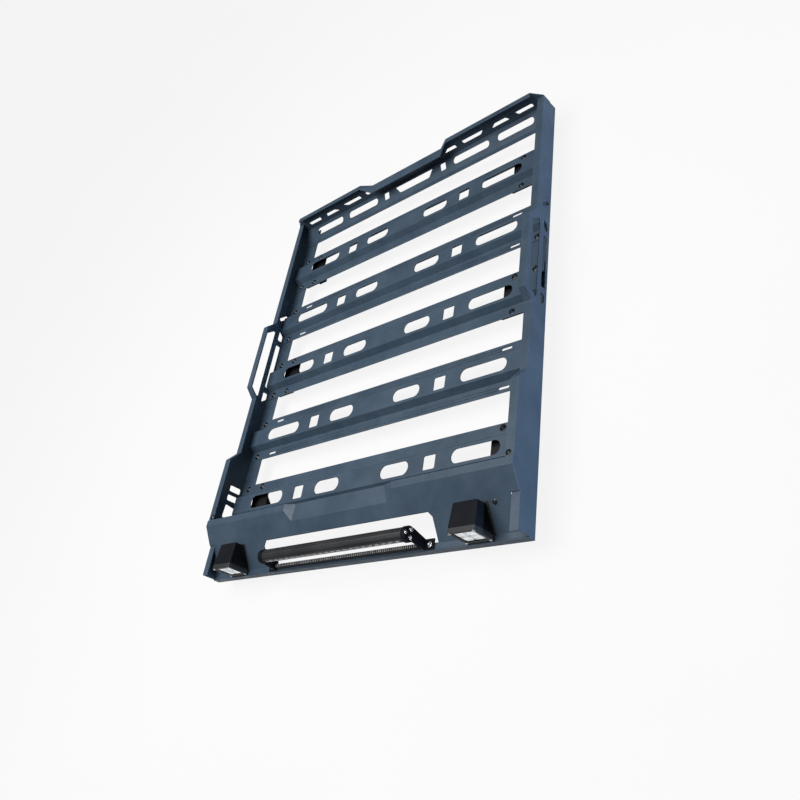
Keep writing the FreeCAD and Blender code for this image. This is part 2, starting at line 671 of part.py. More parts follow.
def all_pieces():
    """Every piece of the basket by name."""
    pieces = {
        "rear_rail": rear_rail(),
        "front_fairing": front_fairing(),
        "front_lip": front_lip(),
        "front_edge_trim": front_edge_trim(),
        "light_bar_housing": light_bar_housing(),
        "light_bar_lens": light_bar_lens(),
    }
    for number in range(1, BAR_COUNT + 1):
        pieces[f"crossbar_{number}"] = crossbar(number)
    paired = {
        "side_rail": side_rail(),
        "light_bar_end_cap": light_bar_end_cap(),
        "light_bar_bracket": light_bar_bracket(),
        "corner_light_housing": corner_light_housing(),
        "corner_light_bezel": corner_light_bezel(),
        "corner_light_lens": corner_light_lens(),
        "corner_light_bracket": corner_light_bracket(),
    }
    for number in FOOT_BARS:
        paired[f"foot_{number}"] = foot(number)
        paired[f"foot_pad_{number}"] = foot_pad(number)
    for name, shape in paired.items():
        pieces[f"{name}_right"] = shape
        pieces[f"{name}_left"] = mirrored(shape)
    pieces["side_rail_left"] = mirrored(paired["side_rail"].cut(rail_windows()))
    return pieces


os.makedirs("parts", exist_ok=True)
for name, shape in all_pieces().items():
    shape.exportStep(f"parts/{name}.step")
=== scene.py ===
"""Dresses the roof basket: finishes, bolts, lamp insides, floor, lights and camera. All in metres."""
import json
import math

import bmesh
import bpy
from mathutils import Matrix, Vector

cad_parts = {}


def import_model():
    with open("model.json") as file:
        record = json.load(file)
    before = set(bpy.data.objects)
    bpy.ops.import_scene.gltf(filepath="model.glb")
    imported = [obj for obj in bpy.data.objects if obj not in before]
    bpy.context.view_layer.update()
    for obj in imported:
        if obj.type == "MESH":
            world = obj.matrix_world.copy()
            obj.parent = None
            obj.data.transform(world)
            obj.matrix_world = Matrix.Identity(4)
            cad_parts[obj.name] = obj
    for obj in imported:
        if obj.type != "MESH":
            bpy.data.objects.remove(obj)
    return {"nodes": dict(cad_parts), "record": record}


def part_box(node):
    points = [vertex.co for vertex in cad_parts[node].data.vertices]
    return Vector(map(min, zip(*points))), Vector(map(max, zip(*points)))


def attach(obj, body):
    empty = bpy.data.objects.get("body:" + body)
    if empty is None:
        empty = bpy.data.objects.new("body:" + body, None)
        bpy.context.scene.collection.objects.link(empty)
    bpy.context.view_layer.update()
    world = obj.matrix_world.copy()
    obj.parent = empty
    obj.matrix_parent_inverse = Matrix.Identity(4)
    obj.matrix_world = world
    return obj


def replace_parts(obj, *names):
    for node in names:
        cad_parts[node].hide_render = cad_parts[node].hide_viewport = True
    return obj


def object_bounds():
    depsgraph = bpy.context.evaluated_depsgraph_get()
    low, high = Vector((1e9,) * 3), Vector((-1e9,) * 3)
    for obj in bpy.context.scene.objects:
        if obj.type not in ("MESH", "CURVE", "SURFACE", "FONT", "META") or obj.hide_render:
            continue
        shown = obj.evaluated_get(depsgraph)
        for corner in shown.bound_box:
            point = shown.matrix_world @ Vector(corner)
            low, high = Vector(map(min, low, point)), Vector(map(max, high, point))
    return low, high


# Camera at the photograph's viewing point: place, turn in degrees, lens and sensor in mm
CAMERA_PLACE = (1.71302, -1.37725, 1.57917)
CAMERA_TURN = (42.61675, 42.07559, 11.16608)
CAMERA_LENS = 35.886
CAMERA_SHIFT = (0.0023, -0.1362)
SENSOR = 36.0

# Sheet thickness, and rounding on edges of sheet and of cast pieces
SHEET = 0.003
SHEET_ROUNDING = 0.0008
CAST_ROUNDING = 0.0026
ROUNDING_SEGMENTS = 2
SHARP_ANGLE = math.radians(30)
WELD_DISTANCE = 1e-5

# M8 button-head bolt on a washer
HEAD_RADIUS = 0.0072
HEAD_HEIGHT = 0.0044
SOCKET_RADIUS = 0.0029
SOCKET_RIM = 0.0036
SOCKET_DEPTH = 0.0026
WASHER_RADIUS = 0.0100
WASHER_THICKNESS = 0.0016
WASHER_RIM = 0.0003
DOME_STEPS = 6
ROUND_STEPS = 24

# Sizes of the bolts as a share of that one, and the height of a low head as a share of its own
BAR_BOLT = 1.0
CAP_BOLT = 0.62
TAB_BOLT = 0.80
BEZEL_SCREW = 0.40
FAIRING_BOLT = 0.70
LIP_BOLT = 0.85
LOW_BOLT = 0.55
LOW_HEAD = 0.64

# Bolts on the crossbars: from the basket's side, and either way from a crossbar's middle
RAIL_BOLT_FROM_SIDE = 0.040
FOOT_BOLT_FROM_SIDE = 0.115
BOLT_FROM_BAR = 0.064
BAR_NUMBERS = (1, 2, 3, 4, 5)
FOOT_BAR_NUMBERS = (1, 3, 5)

# Bolts on the rails' top lips, from the fairing's side, rear edge and top
LIP_BOLT_FROM_SIDE = 0.016
LIP_BOLT_BEHIND_FAIRING = 0.011
LIP_DROP = 0.0035

# Fairing: x and y of its bolts, rise of its slope per length, and y and z of the bend at its top
FAIRING_BOLT_PLACE = (0.548, -0.662)
FAIRING_SLOPE = 0.6217
FAIRING_BEND = (-0.5935, 0.1615)

# Bolts on the light bar's ends, from its axis, and on the corner lights' bezels, from their edge
BRACKET_PLATE = 0.004
CAP_BOLT_SPREAD = 0.0105
CAP_BOLT_RISE = 0.0150
BEZEL_SCREW_INSET = 0.0046

# Light bar: lengthwise ribs on the tube, by degrees from the rear, curved lens and the cups behind it
RIB_ANGLES = (28, 52, 76, 100, 124, 148)
RIB_WIDTH = 0.0022
RIB_TOP_WIDTH = 0.00132
RIB_HEIGHT = 0.0014
LENS_STEPS = 10
BAR_CUPS_ACROSS = 22
BAR_CUPS_UP = 1
BAR_CUP_DEPTH = 0.0075
BAR_CUP_RIM = 0.0022

# Corner lights: cups between the lens and the housing
CORNER_CUPS_ACROSS = 2
CORNER_CUPS_UP = 2
CORNER_CUP_DEPTH = 0.0085
CORNER_CUP_RIM = 0.0095

# Cup and emitter, as shares of the cup's smaller side
CUP_MOUTH = 0.47
CUP_FLOOR = 0.15
CUP_STEPS = 6
EMITTER_RADIUS = 0.11
EMITTER_RISE = 0.05

# Crown of an emitter, as shares of its radius and of its top's depth
CROWN_RADIUS = 0.5
CROWN_DEPTH = 0.98

# Rubber edging on the fairing's cut edges around the corner lights
EDGING_GAP = 0.0015
EDGING_OUTSIDE = 0.0035
EDGING_INSIDE = 0.0060
EDGING_RISE = 0.0014

# Ribbed trim strip: ribs, and where a rib's flat top starts and ends as a share of the pitch
TRIM_RIB_PITCH = 0.0075
TRIM_RIB_DEPTH = 0.0038
TRIM_RIB_START = 0.20
TRIM_RIB_END = 0.62

# Noise in the finishes: features per metre, detail and roughness
MOTTLE = (9.0, 6.0, 0.62)
RUBBING = (70.0, 5.0, 0.65)
SHEEN = (26.0, 4.0, 0.6)
DUST = (60.0, 6.0, 0.6)
LENS_WAVE = (220.0, 2.0, 0.5)
SCUFF = (120.0, 6.0, 0.7)
RUBBER_GRAIN = (900.0, 3.0, 0.6)
STREAK = (180.0, 4.0, 0.6)
METAL_GRAIN = (700.0, 2.0, 0.5)
PHOSPHOR_GRAIN = (900.0, 4.0, 0.6)
FLOOR_SHADE = (1.5, 3.0, 0.5)

# Where on a noise value the two colours or limits of a finish lie
WHOLE = (0.0, 1.0)
NOISE_MIDDLE = (0.3, 0.7)
MOTTLE_STOPS = (0.32, 0.68)
DUST_STOPS = (0.35, 0.75)
SCUFF_STOPS = (0.45, 0.80)
PALE_STOPS = (0.20, 0.70)

# Relief of the finishes: strength and depth
COAT_RELIEF = (0.12, 0.0004)
LENS_RELIEF = (0.04, 0.0003)
RUBBER_RELIEF = (0.25, 0.0003)
METAL_RELIEF = (0.06, 0.0002)

# Edges with rubbed wear and a painted edge highlight: their width, and the cosines of a normal's turn
# where the lighter edge starts and is full
COAT_EDGE = 0.0018
RUBBER_EDGE = 0.0012
EDGE_COSINES = (0.98, 0.75)

# Upright share of a normal where the painted highlight on the trim's tops starts and is full
HIGHLIGHT_UPRIGHT = (0.7, 0.9)

# Coats: shades, pale edge shade (rubbed wear plus a painted edge highlight), range of roughness, specular
# level, share of rubbed and highlit edges, and fine grain
SLATE_COAT = {"dark": (0.026, 0.044, 0.068), "light": (0.042, 0.066, 0.096), "highlight_and_wear": (0.20, 0.24, 0.30),
              "roughness": (0.34, 0.48), "specular": 0.20, "edge_share": 0.9, "grain": (1400.0, 2.0, 0.5)}
BLACK_CAST = {"dark": (0.003, 0.004, 0.006), "light": (0.007, 0.008, 0.011), "highlight_and_wear": (0.05, 0.05, 0.055),
              "roughness": (0.46, 0.60), "specular": 0.06, "edge_share": 0.6, "grain": (1800.0, 2.0, 0.5)}
GREY_CAST = {"dark": (0.014, 0.015, 0.017), "light": (0.026, 0.027, 0.030), "highlight_and_wear": (0.10, 0.10, 0.11),
             "roughness": (0.40, 0.54), "specular": 0.18, "edge_share": 0.6, "grain": (1800.0, 2.0, 0.5)}
BLACK_COAT = {"dark": (0.004, 0.004, 0.005), "light": (0.010, 0.010, 0.012), "highlight_and_wear": (0.06, 0.06, 0.06),
              "roughness": (0.48, 0.62), "specular": 0.15, "edge_share": 0.7, "grain": (1400.0, 2.0, 0.5)}

# Lenses
CLEAR_GLASS = {"clean": (0.95, 0.97, 0.98), "dusty": (0.80, 0.82, 0.84)}
SMOKY_GLASS = {"clean": (0.26, 0.27, 0.29), "dusty": (0.18, 0.19, 0.20)}
LENS_ROUGHNESS = (0.03, 0.14)
LENS_INDEX = 1.49

# Rubber: its two shades, the pale shade of scuffed edges with a painted edge highlight, and the painted
# highlight on the trim's tops
RUBBER_BLACK = (0.008, 0.008, 0.009)
RUBBER_GREY = (0.035, 0.035, 0.037)
RUBBER_SCUFF_AND_HIGHLIGHT = (0.10, 0.10, 0.11)
TRIM_HIGHLIGHT = (0.70, 0.72, 0.74)
RUBBER_ROUGHNESS = (0.70, 0.92)
RUBBER_SPECULAR = 0.3

# Metals and the lights' emitters
BOLT_STEEL = {"dark": (0.015, 0.017, 0.020), "light": (0.07, 0.075, 0.08), "roughness": (0.26, 0.42)}
PLATED_STEEL = {"dark": (0.55, 0.56, 0.58), "light": (0.78, 0.79, 0.80), "roughness": (0.16, 0.30)}
REFLECTOR = {"dark": (0.86, 0.87, 0.88), "light": (0.93, 0.94, 0.95), "roughness": (0.05, 0.12)}
PHOSPHOR_DEEP = (0.80, 0.70, 0.36)
PHOSPHOR_PALE = (0.90, 0.86, 0.66)
PHOSPHOR_ROUGHNESS = (0.25, 0.45)

# Floor: shades, and the share of plain white in what the camera sees of it
FLOOR_SIZE = 600.0
FLOOR_DARK = (0.46, 0.46, 0.46)
FLOOR_LIGHT = (0.50, 0.50, 0.50)
FLOOR_ROUGHNESS = 0.9
FLOOR_GLOW = (0.0, 0.88)

# Colour of the sky, and its strength from the horizon to overhead
WHITE = (1.0, 1.0, 1.0, 1.0)
SKY = (0.08, 0.50)

# Lamps: place, the point they aim at, width and height, watts, colour, and beam in degrees
KEY_LAMP = {"place": (-0.35, -0.35, 3.0), "target": (-0.35, -0.35, 0.0), "size": (2.2, 2.2),
            "power": 140.0, "colour": (1.0, 0.99, 0.97), "beam": 180}
SIDE_LAMP = {"place": (2.6, -0.1, 0.10), "target": (0.0, 0.0, 0.10), "size": (2.6, 0.14),
             "power": 8.0, "colour": (0.54, 0.75, 1.0), "beam": 40}

# Ways that a bolt or a cup faces
QUARTER_TURN = math.radians(90)
UPWARD = Matrix.Identity(4)
FORWARD = Matrix.Rotation(QUARTER_TURN, 4, "X")

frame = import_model()
cad_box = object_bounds()
nodes = frame["nodes"]


def new_material(name):
    """A node material with its tree and its shader."""
    material = bpy.data.materials.new(name)
    material.use_nodes = True
    tree = material.node_tree
    return material, tree, tree.nodes["Principled BSDF"]


def add(tree, kind, **inputs):
    """A new node with the named sockets set."""
    node = tree.nodes.new(kind)
    for socket, value in inputs.items():
        node.inputs[socket.replace("_", " ")].default_value = value
    return node


def noise(tree, scale, detail, roughness):
    """Noise over the object's own space, in features per metre."""
    place = tree.nodes.new("ShaderNodeTexCoord")
    texture = add(tree, "ShaderNodeTexNoise", Scale=scale, Detail=detail, Roughness=roughness)
    tree.links.new(place.outputs["Object"], texture.inputs["Vector"])
    return texture.outputs["Fac"]


def ramp(tree, source, stops, colours):
    """Colour ramp over a value, with a colour at each stop."""
    node = tree.nodes.new("ShaderNodeValToRGB")
    for element, stop, colour in zip(node.color_ramp.elements, stops, colours):
        element.position = stop
        element.color = (*colour, 1.0)
    tree.links.new(source, node.inputs["Fac"])
    return node.outputs["Color"]


def remap(tree, source, limits, new_limits):
    """A value between two limits, brought between two others."""
    low, high = limits
    new_low, new_high = new_limits
    node = add(tree, "ShaderNodeMapRange", From_Min=low, From_Max=high, To_Min=new_low, To_Max=new_high)
    tree.links.new(source, node.inputs["Value"])
    return node.outputs["Result"]


def maths(tree, operation, first, second):
    """Result of one operation on two sockets."""
    node = tree.nodes.new("ShaderNodeMath")
    node.operation = operation
    tree.links.new(first, node.inputs[0])
    tree.links.new(second, node.inputs[1])
    return node.outputs["Value"]


def mix_colour(tree, factor, first, second):
    """Blend of two colour sockets by a factor socket."""
    node = tree.nodes.new("ShaderNodeMix")
    node.data_type = "RGBA"
    tree.links.new(factor, node.inputs["Factor"])
    tree.links.new(first, node.inputs["A"])
    tree.links.new(second, node.inputs["B"])
    return node.outputs["Result"]


def add_bump(tree, shader, source, strength, distance):
    """Fine relief on the surface from a height socket."""
    bump = add(tree, "ShaderNodeBump", Strength=strength, Distance=distance)
    tree.links.new(source, bump.inputs["Height"])
    tree.links.new(bump.outputs["Normal"], shader.inputs["Normal"])


def upright(tree, vector):
    """Upright share of a vector socket."""
    parts = tree.nodes.new("ShaderNodeSeparateXYZ")
    tree.links.new(vector, parts.inputs["Vector"])
    return parts.outputs["Z"]


def edge_mask(tree, radius):
    """1 on edges and 0 on flats, from how far a rounded normal leaves the true one."""
    round_normal = add(tree, "ShaderNodeBevel", Radius=radius)
    geometry = tree.nodes.new("ShaderNodeNewGeometry")
    dot = tree.nodes.new("ShaderNodeVectorMath")
    dot.operation = "DOT_PRODUCT"
    tree.links.new(round_normal.outputs["Normal"], dot.inputs[0])
    tree.links.new(geometry.outputs["Normal"], dot.inputs[1])
    return remap(tree, dot.outputs["Value"], EDGE_COSINES, WHOLE)


def upward_mask(tree):
    """1 on faces that look up and 0 on the others, where the trim's painted highlight goes."""
    geometry = tree.nodes.new("ShaderNodeNewGeometry")
    return remap(tree, upright(tree, geometry.outputs["Normal"]), HIGHLIGHT_UPRIGHT, WHOLE)


def coated(name, dark, light, highlight_and_wear, roughness, specular, edge_share, grain):
    """Powder-coated metal: mottled colour, orange-peel relief, and rubbed edges lightened further as a
    painted edge highlight.
    """
    material, tree, shader = new_material(name)
    base = ramp(tree, noise(tree, *MOTTLE), MOTTLE_STOPS, (dark, light))
    rub = noise(tree, *RUBBING)
    rub_share = remap(tree, rub, NOISE_MIDDLE, (0.0, edge_share))
    # Edge mask broken by noise: rubbed wear plus a painted edge highlight, mixed toward the pale edge
    # shade
    rubbed_and_highlit = maths(tree, "MULTIPLY", edge_mask(tree, COAT_EDGE), rub_share)
    highlight_and_wear_colour = ramp(tree, rub, WHOLE, (highlight_and_wear, light))
    tree.links.new(mix_colour(tree, rubbed_and_highlit, base, highlight_and_wear_colour), shader.inputs["Base Color"])
    tree.links.new(remap(tree, noise(tree, *SHEEN), NOISE_MIDDLE, roughness), shader.inputs["Roughness"])
    shader.inputs["Specular IOR Level"].default_value = specular
    add_bump(tree, shader, noise(tree, *grain), *COAT_RELIEF)
    return material


def glass(name, clean, dusty):
    """Moulded lens with a little dust."""
    material, tree, shader = new_material(name)
    dust = noise(tree, *DUST)
    tree.links.new(ramp(tree, dust, DUST_STOPS, (clean, dusty)), shader.inputs["Base Color"])
    tree.links.new(remap(tree, dust, NOISE_MIDDLE, LENS_ROUGHNESS), shader.inputs["Roughness"])
    shader.inputs["Transmission Weight"].default_value = 1.0
    shader.inputs["IOR"].default_value = LENS_INDEX
    add_bump(tree, shader, noise(tree, *LENS_WAVE), *LENS_RELIEF)
    return material


def rubber(name, pale, painted_highlight_tops):
    """Matt black rubber, with a painted highlight on its tops or else scuffed edges that also carry a
    painted edge highlight.
    """
    material, tree, shader = new_material(name)
    # Where the pale shade goes: a painted highlight on up-facing tops, or scuffed edges plus a painted
    # edge highlight
    highlight_and_wear = upward_mask(tree) if painted_highlight_tops else edge_mask(tree, RUBBER_EDGE)
    scuff = noise(tree, *SCUFF)
    base = ramp(tree, scuff, SCUFF_STOPS, (RUBBER_BLACK, RUBBER_GREY))
    highlight_and_wear_colour = ramp(tree, scuff, PALE_STOPS, (RUBBER_GREY, pale))
    tree.links.new(mix_colour(tree, highlight_and_wear, base, highlight_and_wear_colour), shader.inputs["Base Color"])
    tree.links.new(remap(tree, scuff, NOISE_MIDDLE, RUBBER_ROUGHNESS), shader.inputs["Roughness"])
    shader.inputs["Specular IOR Level"].default_value = RUBBER_SPECULAR
    add_bump(tree, shader, noise(tree, *RUBBER_GRAIN), *RUBBER_RELIEF)
    return material


def metal(name, dark, light, roughness):
    """Bare or plated metal with faint streaks."""
    material, tree, shader = new_material(name)
    streak = noise(tree, *STREAK)
    tree.links.new(ramp(tree, streak, NOISE_MIDDLE, (dark, light)), shader.inputs["Base Color"])
    tree.links.new(remap(tree, streak, NOISE_MIDDLE, roughness), shader.inputs["Roughness"])
    shader.inputs["Metallic"].default_value = 1.0
    add_bump(tree, shader, noise(tree, *METAL_GRAIN), *METAL_RELIEF)
    return material


def phosphor(name):
    """Pale yellow emitter, grainy close up."""
    material, tree, shader = new_material(name)
    grain = noise(tree, *PHOSPHOR_GRAIN)
    shades = (PHOSPHOR_DEEP, PHOSPHOR_PALE)
    tree.links.new(ramp(tree, grain, NOISE_MIDDLE, shades), shader.inputs["Base Color"])
    tree.links.new(remap(tree, grain, NOISE_MIDDLE, PHOSPHOR_ROUGHNESS), shader.inputs["Roughness"])
    return material


def soften(node, width):
    """Small rounding on a solid's edges, as modifiers."""
    weld = node.modifiers.new("weld", "WELD")
    weld.merge_threshold = WELD_DISTANCE
    bevel = node.modifiers.new("edge_rounding", "BEVEL")
    bevel.width = width
    bevel.segments = ROUNDING_SEGMENTS
    bevel.limit_method = "ANGLE"
    bevel.angle_limit = SHARP_ANGLE


def paint(node, material):
    """Gives a node or piece one material."""
    node.data.materials.clear()
    node.data.materials.append(material)


def piece(name, mesh_builder, material):
    """A named piece from a bmesh, riding on the basket."""
    mesh = bpy.data.meshes.new(name)
    mesh_builder.to_mesh(mesh)
    mesh_builder.free()
    made = bpy.data.objects.new(name, mesh)
    bpy.context.scene.collection.objects.link(made)
    paint(made, material)
    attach(made, "root")
    return made


def corners(name):
    """Lowest and highest corner of a CAD node."""
    low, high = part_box(name)
    return Vector(low), Vector(high)


def directions():
    """Angles round a ring, each with its unit direction."""
    angles = [2 * math.pi * step / ROUND_STEPS for step in range(ROUND_STEPS)]
    return [(angle, math.cos(angle), math.sin(angle)) for angle in angles]


def circle(radius):
    """Ring of points on a circle."""
    return [(radius * across, radius * up) for _, across, up in directions()]


def hexagon(radius):
    """Ring of points on a hexagon with the given inner radius."""
    ring = []
    for angle, across, up in directions():
        reach = radius / math.cos(angle % (math.pi / 3) - math.pi / 6)
        ring.append((reach * across, reach * up))
    return ring


def rectangle(width, height):
    """Ring of points on a rectangle."""
    ring = []
    for _, across, up in directions():
        reach = 1 / max(abs(across) / (width / 2), abs(up) / (height / 2))
        ring.append((reach * across, reach * up))
    return ring


def stack(mesh, rings, place, closed_below):
    """Skin over (ring, height) pairs along the Z axis of a place, closed at the last ring."""
    loops = []
    for ring, height in rings:
        loops.append([mesh.verts.new(place @ Vector((x, y, height))) for x, y in ring])
    for lower, upper in zip(loops, loops[1:]):
        for step in range(ROUND_STEPS):
            after = (step + 1) % ROUND_STEPS
            face = mesh.faces.new((lower[step], lower[after], upper[after], upper[step]))
            face.smooth = True
    mesh.faces.new(loops[-1])
    if closed_below:
        mesh.faces.new(tuple(reversed(loops[0])))


def closed_skin(mesh, sections):
    """Flat-faced closed body over sections with the same number of points."""
    loops = [[mesh.verts.new(point) for point in section] for section in sections]
    for near, far in zip(loops, loops[1:]):
        for step in range(len(near)):
            after = (step + 1) % len(near)
            mesh.faces.new((near[step], near[after], far[after], far[step]))
    mesh.faces.new(tuple(reversed(loops[0])))
    mesh.faces.new(loops[-1])
    bmesh.ops.recalc_face_normals(mesh, faces=mesh.faces)


def bolt(mesh, point, turn, size, head=1.0):
    """Washer and button head with a hexagonal socket, standing on a point and facing as turned."""
    place = Matrix.Translation(point) @ turn @ Matrix.Diagonal((size, size, size * head, 1.0))
    rings = [
        (circle(WASHER_RADIUS), 0.0),
        (circle(WASHER_RADIUS), WASHER_THICKNESS - WASHER_RIM),
        (circle(WASHER_RADIUS - WASHER_RIM), WASHER_THICKNESS),
        (circle(HEAD_RADIUS), WASHER_THICKNESS),
    ]
    for step in range(1, DOME_STEPS):
        angle = math.pi / 2 * step / DOME_STEPS
        radius = HEAD_RADIUS * math.cos(angle)
        if radius > SOCKET_RIM:
            rings.append((circle(radius), WASHER_THICKNESS + HEAD_HEIGHT * math.sin(angle)))
    top = WASHER_THICKNESS + HEAD_HEIGHT
    rings.append((circle(SOCKET_RIM), top))
    rings.append((hexagon(SOCKET_RADIUS), top))
    rings.append((hexagon(SOCKET_RADIUS), top - SOCKET_DEPTH))
    stack(mesh, rings, place, True)


def outward(side):
    """Turn that faces a bolt to the right for 1 and to the left for -1."""
    return Matrix.Rotation(side * QUARTER_TURN, 4, "Y")


def bar_bolts():
    """Bolts that hold the crossbars to the side rails and the feet."""
    mesh = bmesh.new()
    for number in BAR_NUMBERS:
        low, high = corners(f"crossbar_{number}")
        middle = (low.y + high.y) / 2
        rows = [RAIL_BOLT_FROM_SIDE]
        if number in FOOT_BAR_NUMBERS:
            rows.append(FOOT_BOLT_FROM_SIDE)
        for from_side in rows:
            x = cad_box[1][0] - from_side
            for side_x in (-1, 1):
                for side_y in (-1, 1):
                    point = (side_x * x, middle + side_y * BOLT_FROM_BAR, low.z + SHEET)
                    bolt(mesh, point, UPWARD, BAR_BOLT)
    return mesh


def lip_bolts():
    """Low bolts on the side rails' top lips, just behind the fairing."""
    mesh = bmesh.new()
    high = corners("front_fairing")[1]
    for side in (-1, 1):
        point = (side * (high.x - LIP_BOLT_FROM_SIDE), high.y + LIP_BOLT_BEHIND_FAIRING, high.z - LIP_DROP)
        bolt(mesh, point, UPWARD, LIP_BOLT, LOW_HEAD)
    return mesh


def fairing_height(y):
    """Height of the fairing's sloped top face."""
    bend_y, bend_z = FAIRING_BEND
    return bend_z - (bend_y - y) * FAIRING_SLOPE


def fairing_bolts():
    """One bolt beside each corner light, square to the fairing's slope."""
    mesh = bmesh.new()
    x, y = FAIRING_BOLT_PLACE
    turn = Matrix.Rotation(math.atan(FAIRING_SLOPE), 4, "X")
    for side in (-1, 1):
        bolt(mesh, (side * x, y, fairing_height(y)), turn, FAIRING_BOLT)
    return mesh


def corner_light_edging():
    """Rubber edging on the three cut edges of the fairing around each corner light."""
    mesh = bmesh.new()
    toe = corners("front_fairing")[0].y
    steep = math.hypot(1, FAIRING_SLOPE)
    profile = ((EDGING_OUTSIDE, -SHEET), (EDGING_OUTSIDE, 0.0), (0.0, EDGING_RISE),
               (-EDGING_INSIDE, EDGING_RISE), (-EDGING_INSIDE, -SHEET))
    for name in ("left", "right"):
        low, high = corners(f"corner_light_housing_{name}")
        middle = (low.x + high.x) / 2
        half = (high.x - low.x) / 2 + EDGING_GAP
        rear = high.y + EDGING_GAP
        sections = []
        for side, at_rear in ((-1, False), (-1, True), (1, True), (1, False)):
            section = []
            for out, rise in profile:
                y = rear + out if at_rear else toe
                section.append((middle + side * (half + out), y, fairing_height(y) + rise * steep))
            sections.append(section)
        closed_skin(mesh, sections)
    return mesh


def light_bar_bolts():
    """Bolts on the ends of the light bar and on its brackets' tabs."""
    mesh = bmesh.new()
    for side, name in ((-1, "left"), (1, "right")):
        low, high = corners(f"light_bar_end_cap_{name}")
        middle = (low + high) / 2
        cap_face = max(abs(low.x), abs(high.x))
        cheek_face = cap_face + BRACKET_PLATE
        for shift in (-CAP_BOLT_SPREAD, CAP_BOLT_SPREAD):
            bolt(mesh, (side * cheek_face, middle.y + shift, middle.z), outward(side), CAP_BOLT)
        bolt(mesh, (side * cap_face, middle.y, middle.z + CAP_BOLT_RISE), outward(side), LOW_BOLT)
        low, high = corners(f"light_bar_bracket_{name}")
        tab_end = max(abs(low.x), abs(high.x))
        tab_middle = side * (cheek_face + tab_end) / 2
        bolt(mesh, (tab_middle, low.y + SHEET + WASHER_RADIUS, low.z + BRACKET_PLATE), UPWARD, TAB_BOLT)
    return mesh


def bezel_screws():
    """Four small screws on the face of each corner light."""
    mesh = bmesh.new()
    for name in ("left", "right"):
        low, high = corners(f"corner_light_bezel_{name}")
        for x in (low.x + BEZEL_SCREW_INSET, high.x - BEZEL_SCREW_INSET):
            for z in (low.z + BEZEL_SCREW_INSET, high.z - BEZEL_SCREW_INSET):
                bolt(mesh, (x, low.y, z), FORWARD, BEZEL_SCREW)
    return mesh


def cup(mirror, emitter, point, width, height, depth):
    """Reflector with a square mouth and a round bowl, and the emitter at its bottom, facing forward."""
    place = Matrix.Translation(point) @ FORWARD
    side = min(width, height)
    mouth = side * CUP_MOUTH
    bottom = side * CUP_FLOOR
    bowl = [(rectangle(width, height), 0.0)]
    for step in range(CUP_STEPS + 1):
        radius = mouth + (bottom - mouth) * step / CUP_STEPS
        rise = (radius ** 2 - bottom ** 2) / (mouth ** 2 - bottom ** 2)
        bowl.append((circle(radius), depth * (rise - 1)))
    stack(mirror, bowl, place, False)
    radius = side * EMITTER_RADIUS
    top = side * EMITTER_RISE - depth
    crown = (circle(radius * CROWN_RADIUS), top * CROWN_DEPTH)
    stack(emitter, [(circle(radius), -depth), (circle(radius), top), crown], place, True)


def cup_grid(mirror, emitter, low, high, across, up, depth):
    """Cups that fill an upright face between two corners at the front of a pocket."""
    width = (high.x - low.x) / across
    height = (high.z - low.z) / up
    for column in range(across):
        for line in range(up):
            point = (low.x + width * (column + 0.5), low.y, low.z + height * (line + 0.5))
            cup(mirror, emitter, point, width, height, depth)


def light_bar_insides():
    """Reflectors and emitters of the light bar."""
    mirror, emitter = bmesh.new(), bmesh.new()
    low, high = corners("light_bar_lens")
    rim = Vector((BAR_CUP_RIM, 0, BAR_CUP_RIM))
    front = Vector((0, high.y - low.y, 0))
    cup_grid(mirror, emitter, low + rim + front, high - rim, BAR_CUPS_ACROSS, BAR_CUPS_UP, BAR_CUP_DEPTH)
    return mirror, emitter


def corner_light_insides():
    """Reflectors and emitters of the two corner lights."""
    mirror, emitter = bmesh.new(), bmesh.new()
    rim = Vector((CORNER_CUP_RIM, 0, CORNER_CUP_RIM))
    for name in ("left", "right"):
        low, high = corners(f"corner_light_bezel_{name}")
        front = Vector((0, high.y - low.y - CORNER_CUP_DEPTH, 0))
        cup_grid(mirror, emitter, low + rim + front, high - rim, CORNER_CUPS_ACROSS, CORNER_CUPS_UP,
                 CORNER_CUP_DEPTH)
    return mirror, emitter


def long_strip(mesh, outline, x_low, x_high):
    """Closed bar along X with an outline of (y, z) points."""
    closed_skin(mesh, [[(x, y, z) for y, z in outline] for x in (x_low, x_high)])


def curved_lens():
    """Lens of the light bar, round in front like its tube."""
    low, high = corners("light_bar_lens")
    tube_low, tube_high = corners("light_bar_housing")
    middle = (tube_low + tube_high) / 2
    radius = (tube_high.z - tube_low.z) / 2
    reach = math.asin((high.z - low.z) / 2 / radius)
    outline = [(high.y, low.z), (high.y, high.z)]
    for step in range(LENS_STEPS + 1):
        angle = reach * (1 - 2 * step / LENS_STEPS)
        outline.append((middle.y - radius * math.cos(angle), middle.z + radius * math.sin(angle)))
    mesh = bmesh.new()
    long_strip(mesh, outline, low.x, high.x)
    return mesh


def light_bar_ribs():
    """Cooling ribs along the top of the light bar's tube, set into it by their height."""
    low, high = corners("light_bar_housing")
    middle = (low + high) / 2
    centre = Vector((middle.y, middle.z))
    radius = (high.z - low.z) / 2
    foot = radius - RIB_HEIGHT
    top = radius + RIB_HEIGHT
    profile = ((foot, -RIB_WIDTH), (top, -RIB_TOP_WIDTH), (top, RIB_TOP_WIDTH), (foot, RIB_WIDTH))
    mesh = bmesh.new()
    for degrees in RIB_ANGLES:
        angle = math.radians(degrees)
        out = Vector((math.cos(angle), math.sin(angle)))
        along = Vector((-out.y, out.x))
        outline = []
        for distance, width in profile:
            point = centre + out * distance + along * width / 2
            outline.append((point.x, point.y))
        long_strip(mesh, outline, low.x, high.x)
    return mesh


